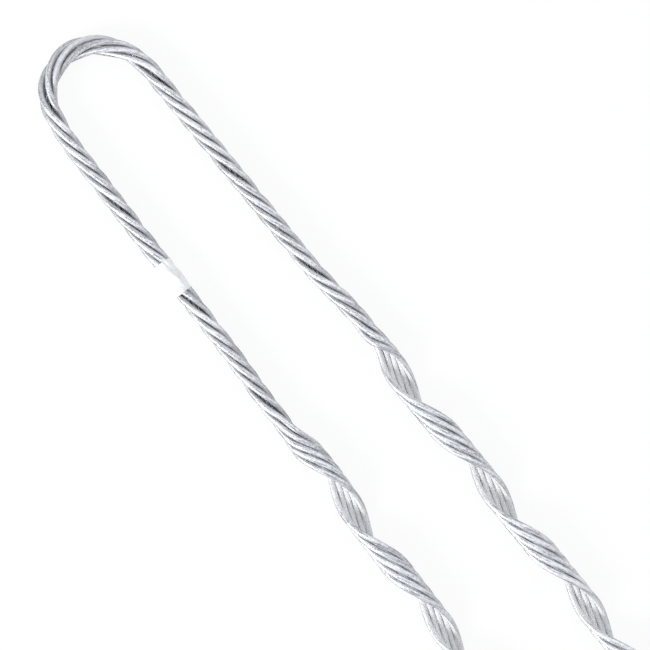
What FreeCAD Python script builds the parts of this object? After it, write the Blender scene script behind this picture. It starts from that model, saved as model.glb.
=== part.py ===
"""Guy grip dead-end: five preformed steel wires, closed to a cable round the eye and opened to two gripping
legs, with a marker tape on the far side of the eye. Millimetres, +Z up.

All wires follow one flat centre-line: far leg, far shoulder, crown, near shoulder, near leg. A place on it is
the length from the joint of the crown and the near shoulder: positive towards the end of the near leg, and
negative towards the end of the far leg. The origin is the centre of the crown's arc, +X runs from the eye to
the ends of the legs, and the near leg lies on the +Y side."""

import FreeCAD
import Part
import Sketcher

import bisect
import math
import os

Vector = FreeCAD.Vector

# Driving dimensions: millimetres, degrees and plain counts
SIZES = [
    ("wire_diameter", 3.45, "diameter of one wire"),
    ("wire_clearance", 0.13, "free space between neighbouring wires"),
    ("section_sides", 8, "flat sides that stand for the round of a wire"),
    ("steps_per_lay", 10, "straight lengths that stand for one turn of a wire"),
    ("leg_bore", 8.4, "inside diameter of the relaxed legs"),
    ("leg_lay", 83.6, "length of one turn in the legs"),
    ("cable_lay", 67.6, "length of one turn in the closed cable"),
    ("cable_seam", 20.0, "angle left open between the first and the last wire of the cable"),
    ("crown_lay", 93.5, "length of one turn at the middle of the stretched lay in the crown"),
    ("stretched_place", -8.3, "middle of the stretched lay"),
    ("stretched_half_length", 68.8, "half the length of the stretched lay"),
    ("crown_looseness", 0.2, "how far the wires stand off the cable's radius where they are loosest"),
    ("crown_flatness", 0.14, "share by which the cable is wider and lower there than round"),
    ("loose_place", -14.0, "middle of the loose length of the cable"),
    ("loose_half_length", 44.0, "half of the loose length"),
    ("crown_radius", 25.9, "bend of the centre-line where the eye bears"),
    ("crown_turn", 116.2, "turn of the crown"),
    ("near_radius", 40.7, "bend of the near shoulder"),
    ("near_turn", 50.8, "turn of the near shoulder"),
    ("far_radius", 137.5, "bend of the far shoulder"),
    ("leg_divergence", 1.6, "angle between the two legs"),
    ("overall_length", 531.0, "outside of the crown to the ends of the legs, along X"),
    ("near_opening", 216.0, "length of closed cable on the near side"),
    ("far_opening", 260.0, "length of closed cable on the far side"),
    ("opening_length", 30.0, "length over which the cable opens to a leg"),
    ("near_lay_end", 195.0, "length of the cable's lay on the near side"),
    ("far_lay_end", 273.0, "length of the cable's lay on the far side"),
    ("lay_change_length", 44.0, "length over which the lay changes to that of a leg"),
    ("near_set", 2.8, "sideways set of the cable before the near leg opens"),
    ("near_set_place", 214.0, "middle of that set"),
    ("far_set", 1.1, "sideways set of the cable before the far leg opens"),
    ("far_set_place", -254.0, "middle of that set"),
    ("far_return", -1.1, "sideways set of the far leg after it"),
    ("far_return_place", -300.0, "middle of that set"),
    ("set_half_length", 42.0, "half the length of a set"),
    ("seam_place", -115.4, "place where the cable's seam faces straight up"),
    ("tape_width", 20.4, "width of the marker tape"),
    ("tape_thickness", 0.3, "thickness of one layer of the tape"),
    ("tape_clearance", 0.1, "free space between the tape and the wires"),
    ("tape_lap", 50.0, "angle over which the tape laps itself"),
    ("tape_turn", 60.0, "angle from straight up to the middle of the lap"),
    ("tape_place", -164.9, "middle of the tape"),
]

WIRE_COUNT = 5
SUM_STEP = 0.5
# The least turn, in degrees, that two straight lengths can be mitred at
LEAST_CORNER = 0.6

# The same radius of the closed cable as Lay.closed_radius gives, for the sizes of sketches
SPACING = f"((360 - Sizes.cable_seam) * 1 deg / {WIRE_COUNT})"
ACROSS = f"((Sizes.wire_diameter + Sizes.wire_clearance) / (2 * sin({SPACING} / 2)))"
CABLE_RADIUS = f"({ACROSS} / sqrt(1 - (2 * pi * {ACROSS} / Sizes.cable_lay) ^ 2))"
HALF_STEP = "cos(180 deg / Sizes.steps_per_lay)"


def smooth(share):
    """A rise from 0 to 1 with no jump of slope or bend at either end."""
    x = min(max(share, 0.0), 1.0)
    return x * x * x * (10.0 - 15.0 * x + 6.0 * x * x)


def swell(share):
    """A swell of height 1 at 0 that dies out at -1 and at 1."""
    return (1.0 + math.cos(math.pi * share)) / 2.0 if abs(share) < 1.0 else 0.0


def with_mitres(points):
    """The same chain of points without those where it hardly turns, so that one straight length runs on there."""
    kept = points[:1]
    for point, following in zip(points[1:], points[2:]):
        if (following - point).getAngle(point - kept[-1]) >= math.radians(LEAST_CORNER):
            kept.append(point)
    return kept + points[-1:]


def make_sheet(doc):
    """The spreadsheet of driving dimensions: name, value and meaning of each."""
    sheet = doc.addObject("Spreadsheet::Sheet", "Sizes")
    for row, (alias, value, meaning) in enumerate(SIZES, start=1):
        sheet.set(f"A{row}", alias)
        sheet.set(f"B{row}", str(value))
        sheet.set(f"C{row}", meaning)
        sheet.setAlias(f"B{row}", alias)
    doc.recompute()
    return sheet


class Size:
    """The driving dimensions as they stand in the sheet, by name."""

    def __init__(self, sheet):
        for alias, _, _ in SIZES:
            setattr(self, alias, float(sheet.get(alias)))


class CentreLine:
    """The flat line that the cable and both legs follow: two straight legs joined by three tangent arcs."""

    def __init__(self, size):
        half_divergence = math.radians(size.leg_divergence) / 2.0
        self.near_radius = size.near_radius
        self.crown_radius = size.crown_radius
        self.far_radius = size.far_radius
        self.joint_heading = half_divergence + math.radians(size.near_turn)
        self.joint = self.left_of(self.joint_heading) * size.crown_radius
        crown_heading = self.joint_heading + math.radians(size.crown_turn)
        self.far_turn = math.pi - half_divergence - crown_heading
        self.near_arc = size.near_radius * math.radians(size.near_turn)
        self.crown_arc = size.crown_radius * math.radians(size.crown_turn)
        self.far_arc = size.far_radius * abs(self.far_turn)

    @staticmethod
    def ahead(heading):
        return Vector(math.cos(heading), math.sin(heading), 0.0)

    @staticmethod
    def left_of(heading):
        return Vector(-math.sin(heading), math.cos(heading), 0.0)

    def along_arc(self, start, heading, radius, turn):
        """Point and heading after an arc from start, where a positive turn is to the left of the way."""
        offset = math.copysign(radius, turn)
        centre = start + self.left_of(heading) * offset
        return centre - self.left_of(heading + turn) * offset, heading + turn

    def at(self, place):
        """Point and heading at a place, where the heading always looks from the far leg to the near leg."""
        if place >= 0.0:
            run = min(place, self.near_arc)
            point, heading = self.along_arc(
                self.joint, self.joint_heading, self.near_radius, -run / self.near_radius
            )
            return point + self.ahead(heading) * (place - run), heading
        # The far side is walked backwards, so the way there is the heading turned round
        run = min(-place, self.crown_arc)
        rest = -place - run
        point, way = self.along_arc(
            self.joint, self.joint_heading + math.pi, self.crown_radius, run / self.crown_radius
        )
        run = min(rest, self.far_arc)
        if run > 0.0:
            turn = math.copysign(run / self.far_radius, self.far_turn)
            point, way = self.along_arc(point, way, self.far_radius, turn)
        return point + self.ahead(way) * (rest - run), way - math.pi

    def leg_end(self, side, reach):
        """Place where the leg of one side, 1 for near and -1 for far, gets as far along X as reach."""
        start = self.near_arc if side > 0 else self.crown_arc + self.far_arc
        point, heading = self.at(side * start)
        return side * (start + (reach - point.x) / abs(math.cos(heading)))


class Lay:
    """How the wires lie round the centre-line: radius, length of a turn and the angle from wire to wire."""

    def __init__(self, size, line):
        self.size = size
        self.line = line
        self.cable_radius = self.closed_radius()
        self.leg_radius = (size.leg_bore + size.wire_diameter) / 2.0
        # A corner lies as far outside the true helix as the middle of a straight length lies inside it
        self.corner = 2.0 / (1.0 + math.cos(math.pi / size.steps_per_lay))
        outside = self.cable_radius + size.crown_looseness + size.wire_diameter / 2.0
        reach = size.overall_length - size.crown_radius - outside
        self.first = line.leg_end(-1, reach)
        self.last = line.leg_end(1, reach)
        self.add_up_turns()

    def add_up_turns(self):
        """Fill the running total of the lay's turning at even places from the far end to the near end."""
        count = math.ceil((self.last - self.first) / SUM_STEP)
        length = (self.last - self.first) / count
        self.places = [self.first + length * i for i in range(count + 1)]
        self.turned = [0.0]
        for place in self.places[:-1]:
            self.turned.append(self.turned[-1] + length * self.rate(place + length / 2.0))

    def closed_radius(self):
        """Radius of the wires' centres where all of them lie side by side round the cable."""
        spacing = math.radians(360.0 - self.size.cable_seam) / WIRE_COUNT
        across = (self.size.wire_diameter + self.size.wire_clearance) / (2.0 * math.sin(spacing / 2.0))
        return across / math.sqrt(1.0 - (2.0 * math.pi * across / self.size.cable_lay) ** 2)

    def opened(self, place):
        """How far the cable has opened to a leg at a place, from 0 to 1."""
        closed = self.size.near_opening if place > 0.0 else self.size.far_opening
        return smooth((abs(place) - closed) / self.size.opening_length)

    def lay_changed(self, place):
        """How far the lay has changed from the cable's to the leg's at a place, from 0 to 1."""
        even = self.size.near_lay_end if place > 0.0 else self.size.far_lay_end
        return smooth((abs(place) - even) / self.size.lay_change_length)

    def loosened(self, place):
        """How loose the cable is at a place, from 0 to 1."""
        return swell((place - self.size.loose_place) / self.size.loose_half_length)

    def turn_length(self, place):
        """Length of one turn of the lay at a place."""
        in_leg = (self.size.leg_lay - self.size.cable_lay) * self.lay_changed(place)
        stretched = swell((place - self.size.stretched_place) / self.size.stretched_half_length)
        in_crown = (self.size.crown_lay - self.size.cable_lay) * stretched
        return self.size.cable_lay + in_leg + in_crown

    def packed_radius(self, place):
        """Radius of the wires' centres at a place without the looseness of the crown."""
        return self.cable_radius + (self.leg_radius - self.cable_radius) * self.opened(place)

    def radius(self, place):
        """Radius of the wires' centres at a place."""
        return self.packed_radius(place) + self.size.crown_looseness * self.loosened(place)

    def sideways(self, place):
        """Set of the whole bundle to the left of the heading."""
        sets = (
            (self.size.near_set, self.size.near_set_place),
            (self.size.far_set, self.size.far_set_place),
            (self.size.far_return, self.size.far_return_place),
        )
        return sum(height * swell((place - middle) / self.size.set_half_length) for height, middle in sets)

    def rate(self, place):
        """How fast the lay turns at a place."""
        return 2.0 * math.pi / self.turn_length(place)

    def touching(self, place, rate):
        """Angle between neighbours that turn at a rate and would lie side by side in a tight cable."""
        radius = self.packed_radius(place)
        across = radius / math.sqrt(1.0 + (radius * rate) ** 2)
        return 2.0 * math.asin((self.size.wire_diameter + self.size.wire_clearance) / (2.0 * across))

    def spacing(self, place, rank):
        """Angle between neighbours that lie rank wires from the middle one, also where all of them spread."""
        before, after = place - SUM_STEP, place + SUM_STEP
        spread = self.touching(after, self.rate(after)) - self.touching(before, self.rate(before))
        return self.touching(place, self.rate(place) - rank * spread / (after - before))

    def fan(self, place, number):
        """Angle of a wire from the middle wire at a place."""
        steps = number - (WIRE_COUNT + 1) // 2
        side = math.copysign(1.0, steps)
        return side * sum(self.spacing(place, side * (i + 0.5)) for i in range(abs(steps)))

    def turned_at(self, place):
        """Angle that the lay turns through from the far end to a place."""
        step = self.places[1] - self.places[0]
        i = min(max(int((place - self.first) / step), 0), len(self.places) - 2)
        share = (place - self.places[i]) / step
        return self.turned[i] + (self.turned[i + 1] - self.turned[i]) * share

    def place_at(self, turned):
        """Place where the lay has turned through an angle from the far end."""
        i = min(max(bisect.bisect_right(self.turned, turned), 1), len(self.turned) - 1)
        share = (turned - self.turned[i - 1]) / (self.turned[i] - self.turned[i - 1])
        return self.places[i - 1] + (self.places[i] - self.places[i - 1]) * share

    def stations(self):
        """Places where the straight lengths of the wires meet, an even turn of the lay apart."""
        total = self.turned[-1]
        count = math.ceil(total * self.size.steps_per_lay / (2.0 * math.pi))
        return [self.place_at(total * i / count) for i in range(count + 1)]

    def wire_points(self, number):
        """Corners of the centre-line of one wire, from the end of the far leg to that of the near leg."""
        seam_turned = self.turned_at(self.size.seam_place)
        points = []
        for place in self.stations():
            middle, heading = self.line.at(place)
            # The wires of a left-hand lay turn clockwise, seen against the heading's way
            angle = seam_turned - self.turned_at(place) - math.pi / 2.0 + self.fan(place, number)
            flatness = self.size.crown_flatness * self.loosened(place)
            angle += flatness / 2.0 * math.sin(2.0 * angle)
            radius = self.corner * self.radius(place)
            wide = radius * (1.0 + flatness) * math.cos(angle)
            high = radius * (1.0 - flatness) * math.sin(angle)
            across = self.line.left_of(heading) * (self.sideways(place) + wide)
            points.append(middle + across + Vector(0.0, 0.0, high))
        return with_mitres(points)


def make_wire(doc, lay, number):
    """One wire: a many-sided section swept along its chain of straight lengths, with mitred corners."""
    points = lay.wire_points(number)
    spine = doc.addObject("Part::Feature", f"WireLine{number}")
    spine.Shape = Part.makePolygon(points)
    section = doc.addObject("Part::RegularPolygon", f"WireSection{number}")
    section.setExpression("Polygon", "Sizes.section_sides")
    # Where straight lengths come closest, the edges of neighbouring sections still keep the clearance
    closest = f"2 * {HALF_STEP} / (1 + {HALF_STEP})"
    section.setExpression("Circumradius", f"Sizes.wire_diameter / 2 * {closest} * 1 mm")
    section.Placement = FreeCAD.Placement(
        points[0], FreeCAD.Rotation(Vector(0.0, 0.0, 1.0), points[1] - points[0])
    )
    wire = doc.addObject("Part::Sweep", f"Wire{number}")
    wire.Label = f"wire_{number}"
    wire.Sections = [section]
    wire.Spine = (spine, [])
    wire.Solid = True
    wire.Transition = "Right corner"
    return wire


def draw_tape(sketch, inner, one_layer, two_layers):
    """The tape's section: a ring of one layer with a lap, which rises along a tangent and ends in a step."""
    # First guesses in millimetres and radians, which the constraints then settle
    bore, single, double = 5.0, 5.5, 6.0
    rise, climb, end = -0.4, 0.3, 0.4
    centre, upward = Vector(0.0, 0.0, 0.0), Vector(0.0, 0.0, 1.0)

    def polar(radius, angle):
        return Vector(radius * math.cos(angle), radius * math.sin(angle), 0.0)

    def arc(radius, first, last):
        return sketch.addGeometry(Part.ArcOfCircle(Part.Circle(centre, upward, radius), first, last), False)

    hole = sketch.addGeometry(Part.Circle(centre, upward, bore), False)
    ring = arc(single, end, 2.0 * math.pi + rise)
    lap = arc(double, rise + climb, end)
    step = sketch.addGeometry(Part.LineSegment(polar(single, end), polar(double, end)), False)
    ramp = sketch.addGeometry(Part.LineSegment(polar(single, rise), polar(double, rise + climb)), False)
    start, finish, middle, origin = 1, 2, 3, -1
    rule = Sketcher.Constraint
    for curve in (hole, ring, lap):
        sketch.addConstraint(rule("Coincident", curve, middle, origin, start))
    sketch.addConstraint(rule("Coincident", ring, start, step, start))
    sketch.addConstraint(rule("Coincident", step, finish, lap, finish))
    sketch.addConstraint(rule("Tangent", ring, finish, ramp, start))
    sketch.addConstraint(rule("Coincident", ramp, finish, lap, start))
    sketch.addConstraint(rule("PointOnObject", origin, start, step))
    sizes = [
        ("inner", rule("Radius", hole, bore), inner),
        ("one_layer", rule("Radius", ring, single), one_layer),
        ("two_layers", rule("Radius", lap, double), two_layers),
        ("lap_end", rule("Angle", step, end), "Sizes.tape_lap / 2 * 1 deg"),
        ("lap_rise", rule("Angle", ramp, math.pi / 2.0 + rise), "(90 - Sizes.tape_lap / 2) * 1 deg"),
    ]
    for name, constraint, expression in sizes:
        sketch.renameConstraint(sketch.addConstraint(constraint), name)
        sketch.setExpression(f"Constraints.{name}", expression)


def make_tape(doc, lay):
    """The marker tape: one layer round the closed cable, with a short lap."""
    body = doc.addObject("PartDesign::Body", "MarkerTape")
    body.Label = "marker_tape"
    sketch = body.newObject("Sketcher::SketchObject", "TapeSection")
    plane = next(item for item in body.Origin.OriginFeatures if item.Role == "XY_Plane")
    sketch.AttachmentSupport = [(plane, "")]
    sketch.MapMode = "FlatFace"
    corner = f"(2 / (1 + {HALF_STEP}))"
    inner = f"{CABLE_RADIUS} * {corner} + Sizes.wire_diameter / 2 + Sizes.tape_clearance"
    draw_tape(
        sketch,
        f"({inner}) * 1 mm",
        f"({inner} + Sizes.tape_thickness) * 1 mm",
        f"({inner} + 2 * Sizes.tape_thickness) * 1 mm",
    )
    width = body.newObject("PartDesign::Pad", "TapeWidth")
    width.Profile = sketch
    width.SideType = "Symmetric"
    width.setExpression("Length", "Sizes.tape_width * 1 mm")
    middle, heading = lay.line.at(lay.size.tape_place)
    left = lay.line.left_of(heading)
    upright = FreeCAD.Rotation(Vector(0.0, 0.0, 1.0), left, lay.line.ahead(heading), "ZYX")
    lap = FreeCAD.Rotation(Vector(0.0, 0.0, 1.0), lay.size.tape_turn)
    body.Placement = FreeCAD.Placement(middle + left * lay.sideways(lay.size.tape_place), upright * lap)
    return body


def check(doc, parts):
    """Stop if anything in the document failed or a sub-part is not one valid solid."""
    for item in doc.Objects:
        if "Invalid" in item.State or "Error" in item.State:
            raise RuntimeError(f"{item.Name} failed: {item.State}")
    for item in parts:
        shape = item.Shape
        if shape.isNull() or not shape.isValid() or len(shape.Solids) != 1:
            raise RuntimeError(f"{item.Label} is not one valid solid")


def main():
    doc = FreeCAD.newDocument("GuyGrip")
    size = Size(make_sheet(doc))
    lay = Lay(size, CentreLine(size))
    parts = [make_wire(doc, lay, number) for number in range(1, WIRE_COUNT + 1)]
    parts.append(make_tape(doc, lay))
    doc.recompute()
    check(doc, parts)
    os.makedirs("parts", exist_ok=True)
    for item in parts:
        item.Shape.exportStep(os.path.join("parts", item.Label + ".step"))
        print(item.Label, round(item.Shape.Volume, 1), "mm3,", len(item.Shape.Faces), "faces")


main()
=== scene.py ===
"""Looks of the guy grip dead-end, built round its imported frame.

The five formed wires are drawn as smooth round galvanised wire on the same flat centre-line and the same
lay as the solids, the legs get their gritty inner side, and the marker tape follows the wires under it.
Lengths are in metres and angles in radians, unless a name says otherwise.
"""

from __future__ import annotations

import bisect
import logging
import math
from dataclasses import dataclass
from enum import Enum
from typing import Union

import bpy
import numpy as np
from mathutils import Matrix, Vector

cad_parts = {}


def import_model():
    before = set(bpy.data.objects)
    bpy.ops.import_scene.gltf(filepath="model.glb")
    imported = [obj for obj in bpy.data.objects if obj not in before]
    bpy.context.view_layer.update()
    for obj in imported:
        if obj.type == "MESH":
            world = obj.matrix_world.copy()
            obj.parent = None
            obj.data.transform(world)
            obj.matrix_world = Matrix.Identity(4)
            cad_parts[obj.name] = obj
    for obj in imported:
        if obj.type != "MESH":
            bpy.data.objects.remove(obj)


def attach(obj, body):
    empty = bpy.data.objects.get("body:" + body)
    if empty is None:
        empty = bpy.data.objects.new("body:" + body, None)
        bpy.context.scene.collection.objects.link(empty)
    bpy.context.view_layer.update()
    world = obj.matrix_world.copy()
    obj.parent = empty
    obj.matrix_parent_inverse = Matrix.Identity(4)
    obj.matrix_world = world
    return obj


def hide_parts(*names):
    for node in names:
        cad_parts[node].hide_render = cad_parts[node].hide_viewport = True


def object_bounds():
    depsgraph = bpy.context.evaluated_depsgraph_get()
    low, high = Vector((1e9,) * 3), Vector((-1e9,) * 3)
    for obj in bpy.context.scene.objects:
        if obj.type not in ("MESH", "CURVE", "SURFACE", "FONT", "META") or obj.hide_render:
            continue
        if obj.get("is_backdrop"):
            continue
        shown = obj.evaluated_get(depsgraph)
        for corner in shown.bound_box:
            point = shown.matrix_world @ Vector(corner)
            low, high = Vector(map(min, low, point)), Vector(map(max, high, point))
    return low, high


LOG = logging.getLogger("guy_grip")
MM = 0.001
TURN = 2.0 * math.pi
BODY = "root"
WHITE = (1.0, 1.0, 1.0, 1.0)


def smooth(share: float) -> float:
    """Return a rise from 0 to 1 with no jump of slope or bend at either end."""
    x = min(max(share, 0.0), 1.0)
    return x * x * x * (10.0 - 15.0 * x + 6.0 * x * x)


def swell(share: float) -> float:
    """Return a swell of height 1 at 0 that dies out at -1 and at 1."""
    return (1.0 + math.cos(math.pi * share)) / 2.0 if abs(share) < 1.0 else 0.0


class Side(Enum):
    """The two sides of the eye, with the sign that places on the centre-line have there."""

    NEAR = 1
    FAR = -1


@dataclass
class CentreLine:
    """The flat line that the cable and both legs follow.

    A place is the length from the joint of the crown and the near shoulder, positive towards the near leg.
    """

    crown_radius: float = 25.9 * MM
    crown_turn: float = math.radians(116.2)
    near_radius: float = 40.7 * MM
    near_turn: float = math.radians(50.8)
    far_radius: float = 137.5 * MM
    divergence: float = math.radians(1.6)

    def __post_init__(self) -> None:
        """Work out the joint of the crown and the near shoulder, and the length of each arc."""
        self.joint_heading = self.divergence / 2.0 + self.near_turn
        self.joint = self.left_of(self.joint_heading) * self.crown_radius
        self.far_turn = math.pi - self.divergence / 2.0 - self.joint_heading - self.crown_turn
        self.near_arc = self.near_radius * self.near_turn
        self.crown_arc = self.crown_radius * self.crown_turn
        self.far_arc = self.far_radius * abs(self.far_turn)

    @staticmethod
    def ahead(heading: float) -> Vector:
        """Return the direction of a heading."""
        return Vector((math.cos(heading), math.sin(heading), 0.0))

    @staticmethod
    def left_of(heading: float) -> Vector:
        """Return the direction to the left of a heading."""
        return Vector((-math.sin(heading), math.cos(heading), 0.0))

    def along_arc(self, start: Vector, heading: float, radius: float, turn: float) -> tuple[Vector, float]:
        """Walk along an arc.

        Args:
            start: Point where the arc starts.
            heading: Heading at the start.
            radius: Radius of the arc.
            turn: Angle of the arc, positive to the left of the way.

        Returns:
            The point and the heading at the arc's end.
        """
        offset = math.copysign(radius, turn)
        centre = start + self.left_of(heading) * offset
        return centre - self.left_of(heading + turn) * offset, heading + turn

    def at(self, place: float) -> tuple[Vector, float]:
        """Find a place on the line.

        Args:
            place: Length from the joint of the crown and the near shoulder.

        Returns:
            The point there, and the heading from the far leg to the near leg.
        """
        if place >= 0.0:
            run = min(place, self.near_arc)
            point, heading = self.along_arc(
                self.joint, self.joint_heading, self.near_radius, -run / self.near_radius
            )
            return point + self.ahead(heading) * (place - run), heading
        run = min(-place, self.crown_arc)
        rest = -place - run
        point, way = self.along_arc(
            self.joint, self.joint_heading + math.pi, self.crown_radius, run / self.crown_radius
        )
        run = min(rest, self.far_arc)
        if run > 0.0:
            turn = math.copysign(run / self.far_radius, self.far_turn)
            point, way = self.along_arc(point, way, self.far_radius, turn)
        return point + self.ahead(way) * (rest - run), way - math.pi

    def leg_end(self, side: Side, reach: float) -> float:
        """Find the end of a leg.

        Args:
            side: Side of the eye.
            reach: X of the leg's end.

        Returns:
            The place of the end.
        """
        start = self.near_arc if side is Side.NEAR else self.crown_arc + self.far_arc
        point, heading = self.at(side.value * start)
        return side.value * (start + (reach - point.x) / abs(math.cos(heading)))


@dataclass
class Lay:
    """How the wires lie round the centre-line: their radius, their rate of turning and their spacing."""

    line: CentreLine
    wire_count: int = 5
    wire_diameter: float = 3.45 * MM
    wire_clearance: float = 0.13 * MM
    leg_bore: float = 8.4 * MM
    leg_lay: float = 83.6 * MM
    cable_lay: float = 67.6 * MM
    cable_seam: float = math.radians(20.0)
    crown_lay: float = 93.5 * MM
    stretched_place: float = -8.3 * MM
    stretched_half_length: float = 68.8 * MM
    crown_looseness: float = 0.2 * MM
    crown_flatness: float = 0.14
    loose_place: float = -14.0 * MM
    loose_half_length: float = 44.0 * MM
    overall_length: float = 531.0 * MM
    near_opening: float = 216.0 * MM
    far_opening: float = 260.0 * MM
    opening_length: float = 30.0 * MM
    near_lay_end: float = 195.0 * MM
    far_lay_end: float = 273.0 * MM
    lay_change_length: float = 44.0 * MM
    near_set: float = 2.8 * MM
    near_set_place: float = 214.0 * MM
    far_set: float = 1.1 * MM
    far_set_place: float = -254.0 * MM
    far_return: float = -1.1 * MM
    far_return_place: float = -300.0 * MM
    set_half_length: float = 42.0 * MM
    seam_place: float = -115.4 * MM
    sum_step: float = 0.5 * MM

    def __post_init__(self) -> None:
        """Find both ends and add up how far the lay has turned, from the far end to the near end."""
        spacing = (TURN - self.cable_seam) / self.wire_count
        across = (self.wire_diameter + self.wire_clearance) / (2.0 * math.sin(spacing / 2.0))
        self.cable_radius = across / math.sqrt(1.0 - (TURN * across / self.cable_lay) ** 2)
        self.leg_radius = (self.leg_bore + self.wire_diameter) / 2.0
        outside = self.cable_radius + self.crown_looseness + self.wire_diameter / 2.0
        reach = self.overall_length - self.line.crown_radius - outside
        self.first = self.line.leg_end(Side.FAR, reach)
        self.last = self.line.leg_end(Side.NEAR, reach)
        count = math.ceil((self.last - self.first) / self.sum_step)
        length = (self.last - self.first) / count
        self.places = [self.first + length * i for i in range(count + 1)]
        self.turned = [0.0]
        for place in self.places[:-1]:
            self.turned.append(self.turned[-1] + length * self.rate(place + length / 2.0))

    def opened(self, place: float) -> float:
        """Return how far the cable has opened to a leg at a place, from 0 to 1."""
        closed = self.near_opening if place > 0.0 else self.far_opening
        return smooth((abs(place) - closed) / self.opening_length)

    def lay_changed(self, place: float) -> float:
        """Return how far the lay has changed from the cable's to the leg's at a place, from 0 to 1."""
        even = self.near_lay_end if place > 0.0 else self.far_lay_end
        return smooth((abs(place) - even) / self.lay_change_length)

    def loosened(self, place: float) -> float:
        """Return how loose the cable is at a place, from 0 to 1."""
        return swell((place - self.loose_place) / self.loose_half_length)

    def rate(self, place: float) -> float:
        """Find how fast the lay turns.

        Args:
            place: Place on the centre-line.

        Returns:
            The angle turned through for each unit of length.
        """
        in_leg = (self.leg_lay - self.cable_lay) * self.lay_changed(place)
        stretched = swell((place - self.stretched_place) / self.stretched_half_length)
        in_crown = (self.crown_lay - self.cable_lay) * stretched
        return TURN / (self.cable_lay + in_leg + in_crown)

    def packed_radius(self, place: float) -> float:
        """Return the radius of the wires' centres at a place without the looseness of the crown."""
        return self.cable_radius + (self.leg_radius - self.cable_radius) * self.opened(place)

    def radius(self, place: float) -> float:
        """Return the radius of the wires' centres at a place."""
        return self.packed_radius(place) + self.crown_looseness * self.loosened(place)

    def sideways(self, place: float) -> float:
        """Find how far the whole bundle is set off the centre-line.

        Args:
            place: Place on the centre-line.

        Returns:
            The distance to the left of the heading.
        """
        sets = (
            (self.near_set, self.near_set_place),
            (self.far_set, self.far_set_place),
            (self.far_return, self.far_return_place),
        )
        return sum(height * swell((place - middle) / self.set_half_length) for height, middle in sets)

    def touching(self, place: float, rate: float) -> float:
        """Find the angle between neighbours that would lie side by side in a tight cable.

        Args:
            place: Place on the centre-line.
            rate: Rate at which the lay turns.

        Returns:
            The angle round the centre-line.
        """
        radius = self.packed_radius(place)
        across = radius / math.sqrt(1.0 + (radius * rate) ** 2)
        return 2.0 * math.asin((self.wire_diameter + self.wire_clearance) / (2.0 * across))

    def spacing(self, place: float, rank: float) -> float:
        """Find the angle between two neighbours, which turn at another rate than the middle wire.

        Args:
            place: Place on the centre-line.
            rank: How many wires the pair lies from the middle one.

        Returns:
            The angle round the centre-line.
        """
        before, after = place - self.sum_step, place + self.sum_step
        spread = self.touching(after, self.rate(after)) - self.touching(before, self.rate(before))
        return self.touching(place, self.rate(place) - rank * spread / (after - before))

    def fan(self, place: float, number: int) -> float:
        """Find how far round a wire lies from the middle wire.

        Args:
            place: Place on the centre-line.
            number: Number of the wire, from 1.

        Returns:
            The angle round the centre-line.
        """
        steps = number - (self.wire_count + 1) // 2
        side = math.copysign(1.0, steps)
        return side * sum(self.spacing(place, side * (i + 0.5)) for i in range(abs(steps)))

    def turned_at(self, place: float) -> float:
        """Look up the running total of the lay's turning.

        Args:
            place: Place on the centre-line.

        Returns:
            The angle turned through from the far end to the place.
        """
        i = min(max(bisect.bisect_right(self.places, place) - 1, 0), len(self.places) - 2)
        share = (place - self.places[i]) / (self.places[i + 1] - self.places[i])
        return self.turned[i] + (self.turned[i + 1] - self.turned[i]) * share

    def angle(self, place: float, number: int) -> float:
        """Find where a wire lies round the centre-line.

        Args:
            place: Place on the centre-line.
            number: Number of the wire, from 1.

        Returns:
            The angle from the left side towards up.
        """
        # At the seam's place the middle wire points down, so that the seam shows on top.
        start = self.turned_at(self.seam_place) - math.pi / 2.0
        return start - self.turned_at(place) + self.fan(place, number)

    def wire_at(self, place: float, number: int) -> tuple[Vector, Vector]:
        """Find a wire at a place.

        Args:
            place: Place on the centre-line.
            number: Number of the wire, from 1.

        Returns:
            The middle of the wire, and the direction from the centre-line to it.
        """
        middle, heading = self.line.at(place)
        left = self.line.left_of(heading)
        angle = self.angle(place, number)
        flatness = self.crown_flatness * self.loosened(place)
        angle += flatness / 2.0 * math.sin(2.0 * angle)
        wide, high = (1.0 + flatness) * math.cos(angle), (1.0 - flatness) * math.sin(angle)
        outward = left * wide + Vector((0.0, 0.0, high))
        return middle + left * self.sideways(place) + outward * self.radius(place), outward


Operand = Union["Value", float, int]


@dataclass(frozen=True)
class Value:
    """One output socket of a material's node tree, with arithmetic that adds Math nodes."""

    tree: bpy.types.NodeTree
    socket: bpy.types.NodeSocket

    def _math(self, operation: str, first: Operand, second: Operand = 0.0) -> "Value":
        """Add one Math node.

        Args:
            operation: Name of the operation.
            first: Its first operand.
            second: Its second operand.

        Returns:
            The node's result.
        """
        node = self.tree.nodes.new("ShaderNodeMath")
        node.operation = operation
        for socket, operand in zip(node.inputs, (first, second)):
            if isinstance(operand, Value):
                self.tree.links.new(operand.socket, socket)
            else:
                socket.default_value = operand
        return Value(self.tree, node.outputs[0])

    def __add__(self, other: Operand) -> "Value":
        """Return self + other."""
        return self._math("ADD", self, other)

    def __radd__(self, other: Operand) -> "Value":
        """Return other + self."""
        return self._math("ADD", other, self)

    def __sub__(self, other: Operand) -> "Value":
        """Return self - other."""
        return self._math("SUBTRACT", self, other)

    def __rsub__(self, other: Operand) -> "Value":
        """Return other - self."""
        return self._math("SUBTRACT", other, self)

    def __mul__(self, other: Operand) -> "Value":
        """Return self * other."""
        return self._math("MULTIPLY", self, other)

    def __rmul__(self, other: Operand) -> "Value":
        """Return other * self."""
        return self._math("MULTIPLY", other, self)


Colour = tuple[float, float, float, float]
Range = tuple[float, float]
SocketInput = Union[Value, float, Colour, tuple[float, float, float]]


@dataclass(frozen=True)
class Pattern:
    """A noise on a finish: its features per millimetre, its octaves and the weight of the finer ones."""

    per_mm: float
    detail: float = 2.0
    roughness: float = 0.5


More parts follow.
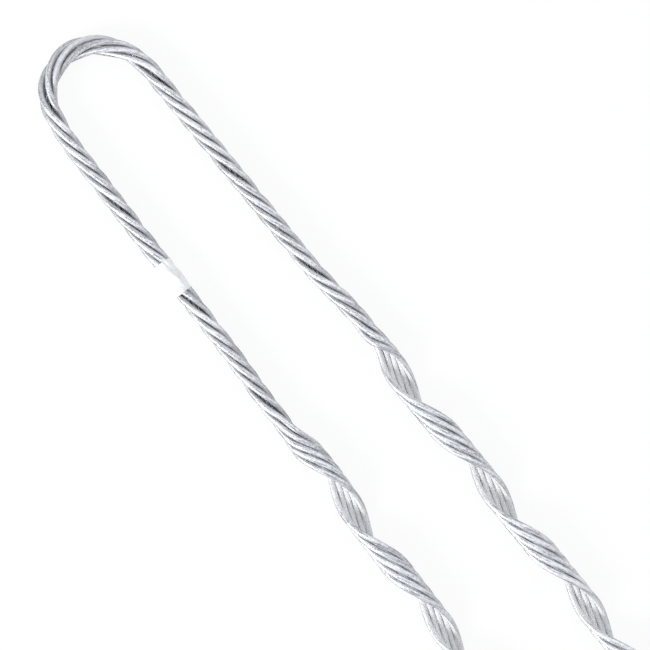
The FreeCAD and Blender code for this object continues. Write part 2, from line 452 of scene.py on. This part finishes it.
class Sheet:
    """A node tree of a material or of the world, and the ways to add to it."""

    def __init__(self, owner: bpy.types.Material | bpy.types.World) -> None:
        """Start on an empty tree.

        Args:
            owner: Material or world that the tree belongs to.
        """
        self.owner = owner
        owner.use_nodes = True
        self.tree = owner.node_tree
        self.tree.nodes.clear()

    @classmethod
    def of_material(cls, name: str) -> "Sheet":
        """Return the sheet of a new material."""
        return cls(bpy.data.materials.new(name))

    def node(
        self, kind: str, sockets: dict[str, SocketInput], output: str | int = 0, **settings: str
    ) -> Value:
        """Add any node that isn't plain arithmetic.

        Args:
            kind: Type of the node, without its common prefix.
            sockets: Value or link of each input, by its name or its identifier.
            output: Name, identifier or number of the output to return.
            **settings: Settings of the node, set before its sockets.

        Returns:
            The asked output.
        """
        node = self.tree.nodes.new("ShaderNode" + kind)
        for name, setting in settings.items():
            setattr(node, name, setting)
        for name, value in sockets.items():
            socket = self._find(node.inputs, name)
            if isinstance(value, Value):
                self.tree.links.new(value.socket, socket)
            else:
                socket.default_value = value
        found = node.outputs[output] if isinstance(output, int) else self._find(node.outputs, output)
        return Value(self.tree, found)

    @staticmethod
    def _find(sockets: bpy.types.bpy_prop_collection, name: str) -> bpy.types.NodeSocket:
        """Find a socket that is in use.

        Args:
            sockets: Inputs or outputs of a node.
            name: Identifier or name of the socket.

        Returns:
            The socket of that identifier, or else the first of that name.
        """
        named = [item for item in sockets if item.enabled and name in (item.identifier, item.name)]
        return min(named, key=lambda item: item.identifier != name)

    def mix(self, factor: SocketInput, first: SocketInput, second: SocketInput) -> Value:
        """Mix two colours.

        Args:
            factor: Share of the second colour.
            first: Colour at 0.
            second: Colour at 1.

        Returns:
            The mixed colour.
        """
        sockets = {"Factor_Float": factor, "A_Color": first, "B_Color": second}
        return self.node("Mix", sockets, "Result_Color", data_type="RGBA")

    def blend(self, factor: SocketInput, first: Value, second: Value) -> Value:
        """Mix two shaders.

        Args:
            factor: Share of the second shader.
            first: Shader at 0.
            second: Shader at 1.

        Returns:
            The mixed shader.
        """
        return self.node("MixShader", {"Fac": factor, "Shader": first, "Shader_001": second})

    def noise(self, place: Value, pattern: Pattern) -> Value:
        """Add a noise.

        Args:
            place: Place to look it up at, in millimetres.
            pattern: Size and octaves of its features.

        Returns:
            The noise, about 0.5.
        """
        octaves = {"Detail": pattern.detail, "Roughness": pattern.roughness}
        return self.node("TexNoise", {"Vector": place, "Scale": pattern.per_mm, **octaves})

    def bump(self, height: Value, strength: float, depth: float) -> Value:
        """Return the normals of a surface with a relief of some strength and depth."""
        return self.node("Bump", {"Height": height, "Strength": strength, "Distance": depth})

    def seen(self) -> Value:
        """Pick out the rays that show a surface straight, in metal or through glass.

        Returns:
            1 for those rays, and else 0.
        """
        camera = self.node("LightPath", {}, "Is Camera Ray")
        outputs = camera.socket.node.outputs
        others = [Value(self.tree, outputs[name]) for name in ("Is Glossy Ray", "Is Transmission Ray")]
        return camera + others[0] + others[1]

    def step(self, value: Value, limits: Range) -> Value:
        """Return a smooth step from 0 to 1 as a value passes from the lower to the upper limit."""
        sockets = {"Value": value, "From Min": limits[0], "From Max": limits[1]}
        return self.node("MapRange", sockets, interpolation_type="SMOOTHSTEP")

    def finish(self, surface: Value) -> bpy.types.Material | bpy.types.World:
        """Connect the surface to the output.

        Args:
            surface: Shader of the surface.

        Returns:
            The owner of the tree.
        """
        kind = "OutputWorld" if isinstance(self.owner, bpy.types.World) else "OutputMaterial"
        output = self.tree.nodes.new("ShaderNode" + kind)
        self.tree.links.new(surface.socket, output.inputs["Surface"])
        return self.owner


def add_piece(
    name: str, points: np.ndarray, faces: list[list[int]], material: bpy.types.Material
) -> bpy.types.Object:
    """Add a smooth mesh object to the scene.

    Args:
        name: Name of the object.
        points: Its points, one row each.
        faces: Its faces, as numbers of points.
        material: Its finish.

    Returns:
        The object.
    """
    mesh = bpy.data.meshes.new(name)
    mesh.from_pydata(points.tolist(), [], faces)
    mesh.polygons.foreach_set("use_smooth", [True] * len(faces))
    mesh.materials.append(material)
    piece = bpy.data.objects.new(name, mesh)
    bpy.context.scene.collection.objects.link(piece)
    LOG.info("%s: %d points, %d faces", name, len(points), len(faces))
    return piece


class Mark(Enum):
    """What the meshes tell their finishes, point by point."""

    STRAIGHT = "straight_wire"
    INSIDE = "inside"
    FLANK = "flank"
    UNROLLED = "unrolled_tape"

    def write(self, mesh: bpy.types.Mesh, values: np.ndarray) -> None:
        """Store the mark on each point of a mesh.

        Args:
            mesh: Mesh to mark.
            values: One number or one vector for each point, in any grid that has the points' order.
        """
        if values.shape[-1] == 3:
            layer = mesh.attributes.new(self.value, "FLOAT_VECTOR", "POINT")
            layer.data.foreach_set("vector", values.astype(np.float32).ravel())
        else:
            layer = mesh.attributes.new(self.value, "FLOAT", "POINT")
            layer.data.foreach_set("value", values.astype(np.float32).ravel())


@dataclass(frozen=True)
class Zinc:
    """Hot-dip zinc on drawn wire, streaked along the wire, with painted shade that darkens and roughens
    its flanks where they face the neighbouring wires.
    """

    bright: Colour = (0.77, 0.785, 0.825, 1.0)
    dull: Colour = (0.285, 0.295, 0.32, 1.0)
    # Painted shade: the grey that the flanks facing the neighbouring wires are darkened towards.
    painted_flank_shade: Colour = (0.37, 0.375, 0.395, 1.0)
    metallic: float = 0.8
    roughness: float = 0.32
    worn_roughness: float = 0.12
    # Extra roughness under the painted flank shade.
    flank_shade_roughness: float = 0.1
    stretch: tuple[float, float, float] = (1.0, 1.0, 0.06)
    streak: Pattern = Pattern(1.0, detail=3.0, roughness=0.6)
    patch: Pattern = Pattern(0.4)
    drawing: Pattern = Pattern(4.5, detail=3.0)
    grain: Pattern = Pattern(1.5, detail=4.0, roughness=0.65)
    spangle_per_mm: float = 0.8
    spangle_share: float = 0.35
    streak_share: float = 0.75
    worn_grain: float = 0.45
    worn_limits: Range = (0.43, 0.54)
    # How the painted shade on the flanks is broken up by noise, where it starts and ends, and how strongly
    # it darkens.
    flank_shade_grain: float = 0.35
    flank_shade_patch: float = 0.3
    flank_shade_limits: Range = (0.30, 1.05)
    flank_shade_strength: float = 0.55
    drawing_height: float = 0.4
    grain_height: float = 0.15
    streak_height: float = 0.8
    relief: float = 0.85
    relief_depth: float = 0.3 * MM

    def shader(self, sheet: Sheet, place: Value) -> Value:
        """Build the bare zinc.

        Args:
            sheet: Sheet of the material.
            place: Place on the straightened wire, in millimetres.

        Returns:
            The zinc's shader.
        """
        stretched = {"Vector": place, "Vector_001": self.stretch}
        drawn = sheet.node("VectorMath", stretched, operation="MULTIPLY")
        streak, patch = sheet.noise(drawn, self.streak), sheet.noise(drawn, self.patch)
        drawing, grain = sheet.noise(drawn, self.drawing), sheet.noise(place, self.grain)
        speckle = grain - 0.5
        flake = sheet.node("TexVoronoi", {"Vector": place, "Scale": self.spangle_per_mm}, "Color")
        spangle = sheet.node("SeparateColor", {"Color": flake})
        streaks = streak * self.streak_share + patch * (1.0 - self.streak_share)
        worn = sheet.step(streaks + speckle * self.worn_grain, self.worn_limits)
        # Painted shade between the wires: the flank mark, broken up by noise, mixes the zinc towards a
        # darker grey and raises its roughness.
        flank = sheet.node("Attribute", {}, "Fac", attribute_name=Mark.FLANK.value)
        flank_shade_mask = flank + speckle * self.flank_shade_grain + (patch - 0.5) * self.flank_shade_patch
        flank_shade = sheet.step(flank_shade_mask, self.flank_shade_limits)
        brightness = worn * (1.0 - self.spangle_share) + spangle * self.spangle_share
        unshaded = sheet.mix(brightness, self.dull, self.bright)
        height = drawing * self.drawing_height + grain * self.grain_height + streak * self.streak_height
        sockets = {
            "Base Color": sheet.mix(flank_shade * self.flank_shade_strength, unshaded, self.painted_flank_shade),
            "Metallic": self.metallic,
            "Roughness": self.roughness + worn * self.worn_roughness + flank_shade * self.flank_shade_roughness,
            "Normal": sheet.bump(height, self.relief, self.relief_depth),
        }
        return sheet.node("BsdfPrincipled", sockets)


@dataclass(frozen=True)
class Grit:
    """Pale grit glued to the inner side of the legs, ragged at its edge."""

    pale: Colour = (0.97, 0.97, 0.975, 1.0)
    shade: Colour = (0.58, 0.58, 0.60, 1.0)
    roughness: float = 0.85
    grains_per_mm: float = 4.5
    tone: Pattern = Pattern(1.8, detail=5.0, roughness=0.75)
    tone_limits: Range = (0.38, 0.58)
    relief: float = 0.8
    relief_depth: float = 0.2 * MM
    edge: Pattern = Pattern(1.6, detail=5.0, roughness=0.7)
    edge_share: float = 0.5
    edge_limits: Range = (0.45, 0.68)

    def shader(self, sheet: Sheet, place: Value) -> Value:
        """Build the glued grit.

        Args:
            sheet: Sheet of the material.
            place: Place on the straightened wire, in millimetres.

        Returns:
            The grit's shader.
        """
        grains = sheet.node("TexVoronoi", {"Vector": place, "Scale": self.grains_per_mm}, "Distance")
        tone = sheet.step(sheet.noise(place, self.tone), self.tone_limits)
        sockets = {
            "Base Color": sheet.mix(tone, self.shade, self.pale),
            "Roughness": self.roughness,
            "Normal": sheet.bump(1.0 - grains, self.relief, self.relief_depth),
        }
        return sheet.node("BsdfPrincipled", sockets)

    def cover(self, sheet: Sheet, place: Value) -> Value:
        """Tell where the grit covers the zinc.

        Args:
            sheet: Sheet of the material.
            place: Place on the straightened wire, in millimetres.

        Returns:
            A share from 0 to 1.
        """
        inside = sheet.node("Attribute", {}, "Fac", attribute_name=Mark.INSIDE.value)
        ragged = sheet.noise(place, self.edge) - 0.5
        return sheet.step(inside + ragged * self.edge_share, self.edge_limits)


@dataclass(frozen=True)
class GalvanisedFinish:
    """The formed wires' finish: bare zinc, with grit on the inner side of the legs."""

    zinc: Zinc = Zinc()
    grit: Grit = Grit()

    def material(self) -> bpy.types.Material:
        """Build the material.

        Returns:
            The finished material.
        """
        sheet = Sheet.of_material("galvanised_wire")
        place = sheet.node("Attribute", {}, "Vector", attribute_name=Mark.STRAIGHT.value)
        cover = self.grit.cover(sheet, place)
        return sheet.finish(
            sheet.blend(cover, self.zinc.shader(sheet, place), self.grit.shader(sheet, place))
        )


@dataclass(frozen=True)
class TapeFinish:
    """White marker tape, slightly glossy, a little grey where it has been handled."""

    film: Colour = (0.90, 0.905, 0.915, 1.0)
    handled: Colour = (0.78, 0.79, 0.81, 1.0)
    roughness: float = 0.38
    stain_roughness: float = 0.12
    stain: Pattern = Pattern(0.22, detail=4.0)
    stain_limits: Range = (0.52, 0.8)
    crease: Pattern = Pattern(0.9)
    relief: float = 0.25
    relief_depth: float = 0.2 * MM

    def material(self) -> bpy.types.Material:
        """Build the material.

        Returns:
            The finished material.
        """
        sheet = Sheet.of_material("marker_tape")
        place = sheet.node("Attribute", {}, "Vector", attribute_name=Mark.UNROLLED.value)
        stain = sheet.noise(place, self.stain)
        crease = sheet.noise(place, self.crease)
        sockets = {
            "Base Color": sheet.mix(sheet.step(stain, self.stain_limits), self.film, self.handled),
            "Roughness": self.roughness + stain * self.stain_roughness,
            "Normal": sheet.bump(crease, self.relief, self.relief_depth),
        }
        return sheet.finish(sheet.node("BsdfPrincipled", sockets))


@dataclass(frozen=True)
class FloorFinish:
    """A plain pale floor that shows white and keeps the shadow of what lies on it."""

    colour: Colour = (0.92, 0.92, 0.92, 1.0)
    shown: float = 0.9

    def material(self) -> bpy.types.Material:
        """Build the material.

        Returns:
            The finished material.
        """
        sheet = Sheet.of_material("pale_floor")
        matte = sheet.node("BsdfDiffuse", {"Color": self.colour})
        bright = sheet.node("Emission", {"Color": WHITE, "Strength": 1.0})
        return sheet.finish(sheet.blend(sheet.seen() * self.shown, matte, bright))


@dataclass(frozen=True)
class Rings:
    """The rings of a tube: their middles, their frames, their radii and where they lie."""

    places: np.ndarray
    middles: np.ndarray
    outward: np.ndarray
    beside: np.ndarray
    lengths: np.ndarray
    radii: np.ndarray

    def with_rims(self, chamfer: float) -> "Rings":
        """Double both end rings, with a smaller one at the cut.

        Args:
            chamfer: How much smaller the rim of the cut is.

        Returns:
            Rings with one more at either end.
        """
        rows = [0, *range(len(self.places)), len(self.places) - 1]
        radii = self.radii[rows]
        radii[[0, -1]] -= chamfer
        frames = (self.outward[rows], self.beside[rows])
        return Rings(self.places[rows], self.middles[rows], *frames, self.lengths[rows], radii)


@dataclass
class FormedWire:
    """One round wire on its helix, from the end of the far leg to the end of the near leg.

    It swells a little where the cable is loose at the crown, so that no light shows between the wires, and
    the painted shade on its flanks is weaker in the open legs, where the wires stand apart. In its finish
    it lies straight, apart from the other wires.
    """

    lay: Lay
    number: int
    around: int = 24
    ring_step: float = 1.2 * MM
    end_gap: float = 0.1 * MM
    chamfer: float = 0.35 * MM
    crown_swell: float = 0.12 * MM
    # Share by which the painted flank shade is weaker in the open legs.
    less_flank_shade_in_legs: float = 0.4
    apart_in_finish_mm: float = 20.0

    def __post_init__(self) -> None:
        """Work out the directions of the points of one ring."""
        angles = TURN * np.arange(self.around) / self.around
        self.out_share, self.side_share = np.cos(angles), np.sin(angles)

    @property
    def name(self) -> str:
        """Return the name of the solid that the wire stands for."""
        return f"wire_{self.number}"

    def rings(self) -> Rings:
        """Lay the wire's rings along its helix.

        Returns:
            The rings, with a rim at both cut ends.
        """
        first, last = self.lay.first + self.end_gap, self.lay.last - self.end_gap
        places = np.linspace(first, last, math.ceil((last - first) / self.ring_step) + 1)
        spots = [self.lay.wire_at(float(place), self.number) for place in places]
        middles, outward = (np.array([spot[part][:] for spot in spots]) for part in (0, 1))
        ahead = np.gradient(middles, axis=0)
        ahead /= np.linalg.norm(ahead, axis=1)[:, None]
        outward -= ahead * (outward * ahead).sum(1)[:, None]
        outward /= np.linalg.norm(outward, axis=1)[:, None]
        steps = np.linalg.norm(np.diff(middles, axis=0), axis=1)
        lengths = np.concatenate(([0.0], np.cumsum(steps)))
        loose = np.array([self.lay.loosened(float(place)) for place in places])
        radii = self.lay.wire_diameter / 2.0 + self.crown_swell * loose
        rings = Rings(places, middles, outward, np.cross(ahead, outward), lengths, radii)
        return rings.with_rims(self.chamfer)

    def points(self, rings: Rings) -> np.ndarray:
        """Place the points of the rings.

        Args:
            rings: Rings of the wire.

        Returns:
            The points, row by row.
        """
        out = rings.outward[:, None] * (rings.radii[:, None] * self.out_share)[:, :, None]
        side = rings.beside[:, None] * (rings.radii[:, None] * self.side_share)[:, :, None]
        return rings.middles[:, None] + out + side

    def faces(self, rows: int) -> list[list[int]]:
        """List the faces of the wire.

        Args:
            rows: Number of rings.

        Returns:
            The faces between the rings, and then the two cuts.
        """
        n = self.around
        sides = [
            [row * n + i, row * n + (i + 1) % n, (row + 1) * n + (i + 1) % n, (row + 1) * n + i]
            for row in range(rows - 1)
            for i in range(n)
        ]
        return sides + [list(range(n))[::-1], list(range((rows - 1) * n, rows * n))]

    def write_marks(self, mesh: bpy.types.Mesh, rings: Rings) -> None:
        """Tell the finish where each point lies on the wire.

        Args:
            mesh: Mesh of the wire.
            rings: Its rings.
        """
        grid = (len(rings.places), self.around)
        straight = np.empty((*grid, 3))
        apart = self.apart_in_finish_mm * self.number
        straight[:, :, 0] = rings.radii[:, None] * self.out_share / MM + apart
        straight[:, :, 1] = rings.radii[:, None] * self.side_share / MM
        straight[:, :, 2] = rings.lengths[:, None] / MM
        opened = np.array([self.lay.opened(float(place)) for place in rings.places])[:, None]
        Mark.STRAIGHT.write(mesh, straight)
        Mark.INSIDE.write(mesh, np.clip(-self.out_share, 0.0, 1.0) * opened)
        # Painted shade: the flanks facing the neighbouring wires are marked for darkening, less where the
        # legs open.
        Mark.FLANK.write(mesh, np.abs(self.side_share) * (1.0 - self.less_flank_shade_in_legs * opened))

    def build(self, steel: bpy.types.Material) -> bpy.types.Object:
        """Build the wire in the place of its solid.

        Args:
            steel: Finish of the wire.

        Returns:
            The wire.
        """
        rings = self.rings()
        faces = self.faces(len(rings.places))
        piece = add_piece(self.name + "_round", self.points(rings).reshape(-1, 3), faces, steel)
        self.write_marks(piece.data, rings)
        for cut in piece.data.polygons[-2:]:
            cut.use_smooth = False
        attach(piece, BODY)
        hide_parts(self.name)
        return piece


@dataclass
class MarkerTape:
    """White tape drawn tight round the wires of the far side, with its end lapped over its start.

    The film spans the valleys between the wires, so its section is a polygon with round corners that turns
    with the lay. Angles are round the cable, from its left side towards up.
    """

    lay: Lay
    middle: float = -164.9 * MM
    width: float = 20.4 * MM
    thickness: float = 0.3 * MM
    lift: float = 0.12 * MM
    lap_start: float = math.radians(60.0)
    lap_angle: float = math.radians(50.0)
    lap_drift: float = math.radians(-26.0)
    climb: float = math.radians(7.0)
    around: int = 206
    rows: int = 24

    name = "marker_tape"

    def hull_radius(self, place: float, angle: float) -> float:
        """Find how far out the film's inner side lies.

        Args:
            place: Place on the centre-line.
            angle: Angle round the cable.

        Returns:
            The distance from the middle of the cable.
        """
        reach = self.lay.radius(place)
        round_radius = self.lay.wire_diameter / 2.0 + self.lift
        ways = [self.lay.angle(place, number) for number in range(1, self.lay.wire_count + 1)]
        for way, following in zip(ways, [*ways[1:], ways[0] + TURN]):
            half = (following - way) / 2.0
            flat = reach * math.cos(half) + round_radius
            off = math.remainder(angle - way - half, TURN)
            if abs(off) <= math.atan2(reach * math.sin(half), flat):
                return flat / math.cos(off)
        off = min((math.remainder(angle - way, TURN) for way in ways), key=abs)
        return reach * math.cos(off) + math.sqrt(round_radius ** 2 - (reach * math.sin(off)) ** 2)

    def lift_off(self, run: float) -> float:
        """Return how far the film stands off the hull after a run, to climb over its start."""
        return self.thickness * smooth((run - TURN) / self.climb + 1.0)

    def build(self, film: bpy.types.Material) -> bpy.types.Object:
        """Build the tape in the place of its solid.

        Args:
            film: Finish of the tape.

        Returns:
            The tape.
        """
        runs = np.linspace(0.0, TURN + self.lap_angle, self.around)
        shares = np.linspace(-0.5, 0.5, self.rows)
        sides = np.empty((2, self.rows, self.around, 3))
        unrolled = np.empty((2, self.rows, self.around, 3))
        for row, share in enumerate(shares):
            place = self.middle + share * self.width
            centre, heading = self.lay.line.at(place)
            left = self.lay.line.left_of(heading)
            for column, run in enumerate(runs):
                angle = self.lap_start + share * self.lap_drift + run
                inner = self.hull_radius(place, angle) + self.lift_off(run)
                way = left * math.cos(angle) + Vector((0.0, 0.0, math.sin(angle)))
                for side, radius in enumerate((inner, inner + self.thickness)):
                    sides[side, row, column] = centre + way * radius
                    unrolled[side, row, column] = (radius * run / MM, share * self.width / MM, 0.0)
        piece = add_piece(self.name + "_film", sides.reshape(-1, 3), self.faces(), film)
        Mark.UNROLLED.write(piece.data, unrolled)
        edges = 2 * (self.rows - 1 + self.around - 1)
        for face in piece.data.polygons[-edges:]:
            face.use_smooth = False
        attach(piece, BODY)
        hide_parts(self.name)
        return piece

    def faces(self) -> list[list[int]]:
        """List the faces of the film.

        Returns:
            The faces of both sides, and then those of the four edges.
        """
        number = np.arange(2 * self.rows * self.around).reshape(2, self.rows, self.around)
        inner, outer = number

        def strips(first: np.ndarray, second: np.ndarray) -> list[list[int]]:
            """Join two lines of points with faces."""
            return np.stack((first[:-1], first[1:], second[1:], second[:-1]), axis=1).tolist()

        found = []
        for row in range(self.rows - 1):
            found += strips(outer[row], outer[row + 1]) + strips(inner[row + 1], inner[row])
        found += strips(inner[0], outer[0]) + strips(outer[-1], inner[-1])
        found += strips(outer[:, 0], inner[:, 0]) + strips(inner[:, -1], outer[:, -1])
        return found


@dataclass(frozen=True)
class SoftLamp:
    """A square lamp over the part: its place from the picture's middle, its side and its watts."""

    name: str
    across: float
    along: float
    height: float
    side: float
    power: float
    colour: tuple[float, float, float] = (1.0, 1.0, 1.0)


@dataclass
class Studio:
    """The floor, the lamps, the surroundings and the camera."""

    frame_width: float = 357.5 * MM
    view_centre: tuple[float, float] = (179.0 * MM, 19.7 * MM)
    view_right: tuple[float, float] = (0.6211, 0.7837)
    lens_mm: float = 150.0
    sensor_mm: float = 36.0
    clip_end: float = 100.0
    floor_gap: float = 0.05 * MM
    floor_size: float = 6.0
    world_colour: Colour = (0.96, 0.98, 1.0, 1.0)
    world_strength: float = 0.7
    lamps: tuple[SoftLamp, ...] = (
        SoftLamp("key", across=-1.3, along=-0.7, height=0.9, side=0.6, power=21.5),
        SoftLamp("fill", across=0.9, along=1.0, height=1.6, side=1.5, power=7.5, colour=(0.95, 0.96, 1.0)),
    )

    @property
    def right(self) -> Vector:
        """Return the direction to the right of the picture."""
        return Vector((*self.view_right, 0.0)).normalized()

    @property
    def up(self) -> Vector:
        """Return the direction to the top of the picture."""
        return Vector((-self.view_right[1], self.view_right[0], 0.0)).normalized()

    def build_camera(self) -> None:
        """Look straight down on the part, turned as the photograph is."""
        data = bpy.data.cameras.new("camera")
        data.lens = self.lens_mm
        data.sensor_width = self.sensor_mm
        data.clip_end = self.clip_end
        distance = self.frame_width * self.lens_mm / self.sensor_mm
        camera = bpy.data.objects.new("camera", data)
        turned = Matrix((self.right, self.up, Vector((0.0, 0.0, 1.0)))).transposed().to_4x4()
        camera.matrix_world = Matrix.Translation((*self.view_centre, distance)) @ turned
        bpy.context.scene.collection.objects.link(camera)
        bpy.context.scene.camera = camera

    def build_floor(self, lowest: float, material: bpy.types.Material) -> None:
        """Lay the floor under the part.

        Args:
            lowest: Height of the part's lowest point.
            material: Finish of the floor.
        """
        half = self.floor_size / 2.0
        x, y = self.view_centre
        z = lowest - self.floor_gap
        west, east, south, north = x - half, x + half, y - half, y + half
        mesh = bpy.data.meshes.new("floor")
        points = [(west, south, z), (east, south, z), (east, north, z), (west, north, z)]
        mesh.from_pydata(points, [], [(0, 1, 2, 3)])
        mesh.materials.append(material)
        floor = bpy.data.objects.new("floor", mesh)
        bpy.context.scene.collection.objects.link(floor)
        floor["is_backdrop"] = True

    def hang(self, lamp: SoftLamp) -> None:
        """Hang a lamp over the part and turn it to the picture's middle.

        Args:
            lamp: Lamp to hang.
        """
        data = bpy.data.lights.new(lamp.name, "AREA")
        data.shape = "SQUARE"
        data.size = lamp.side
        data.energy = lamp.power
        data.color = lamp.colour
        item = bpy.data.objects.new(lamp.name, data)
        middle = Vector((*self.view_centre, 0.0))
        away = self.right * lamp.across + self.up * lamp.along + Vector((0.0, 0.0, lamp.height))
        item.location = middle + away
        item.rotation_euler = (-away).to_track_quat("-Z", "Y").to_euler()
        bpy.context.scene.collection.objects.link(item)

    def build_lights(self) -> None:
        """Light the part softly from the lower left, with a weaker fill from the upper right."""
        for lamp in self.lamps:
            self.hang(lamp)

    def build_world(self) -> None:
        """Give the surroundings an even pale light that the camera sees as white."""
        sheet = Sheet(bpy.data.worlds.new("studio"))
        even = sheet.node("Background", {"Color": self.world_colour, "Strength": self.world_strength})
        white = sheet.node("Background", {"Color": WHITE, "Strength": 1.0})
        bpy.context.scene.world = sheet.finish(sheet.blend(sheet.seen(), even, white))


def corners(bounds: tuple[Vector, Vector]) -> list[list[float]]:
    """Return a box as plain lists of numbers."""
    return [list(map(float, corner)) for corner in bounds]


def main() -> None:
    """Build the grip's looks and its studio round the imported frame."""
    logging.basicConfig(level=logging.INFO, format="%(name)s: %(message)s")
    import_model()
    cad_bounds = corners(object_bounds())
    lay = Lay(CentreLine())
    steel = GalvanisedFinish().material()
    for number in range(1, lay.wire_count + 1):
        FormedWire(lay, number).build(steel)
    MarkerTape(lay).build(TapeFinish().material())
    studio = Studio()
    studio.build_camera()
    studio.build_floor(cad_bounds[0][2], FloorFinish().material())
    studio.build_lights()
    studio.build_world()
    bpy.context.scene.view_settings.view_transform = "Standard"


if __name__ == "__main__":
    main()
